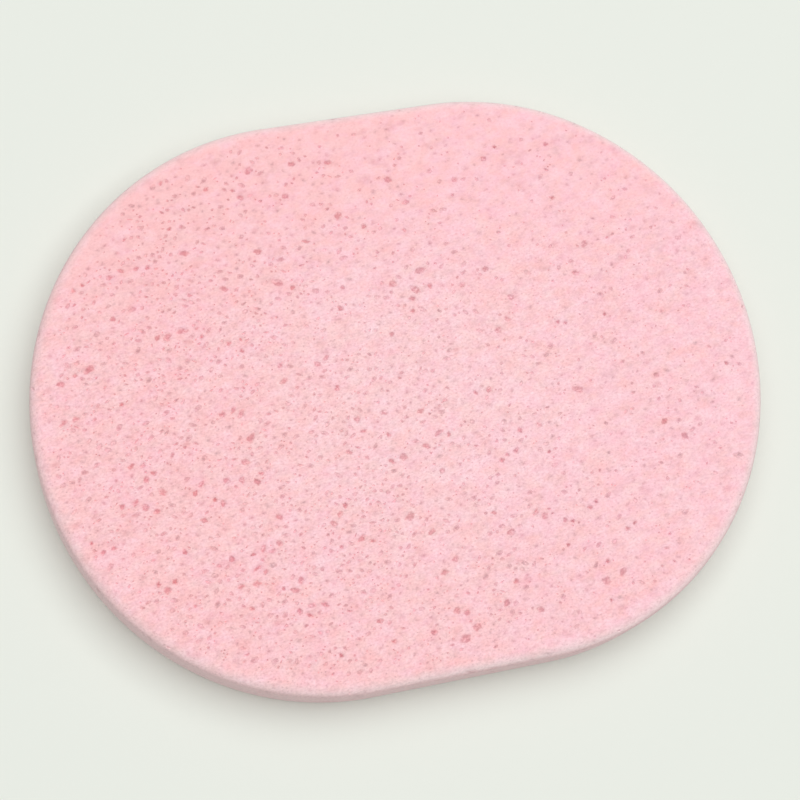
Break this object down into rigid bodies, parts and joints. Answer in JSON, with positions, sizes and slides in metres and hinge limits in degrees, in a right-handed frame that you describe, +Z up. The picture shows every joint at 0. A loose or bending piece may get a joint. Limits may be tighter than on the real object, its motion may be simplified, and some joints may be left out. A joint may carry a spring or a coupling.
{
  "type": "face-washing sponge",
  "caption": "Flat racetrack-shaped slab of pale pink open-cell foam with pored faces and softened edges, for washing and wiping the face.",
  "frame": {"origin": "middle of the back face, on the surface that the sponge lies on", "axes": "+X along the sponge's length, +Y across its width, +Z up through its thickness to the front face"},
  "size_m": [0.12, 0.095, 0.01],
  "materials": {
    "foam": "matte"
  },
  "bodies": {
    "root": {"foam_slab": "foam"}
  },
  "joints": []
}
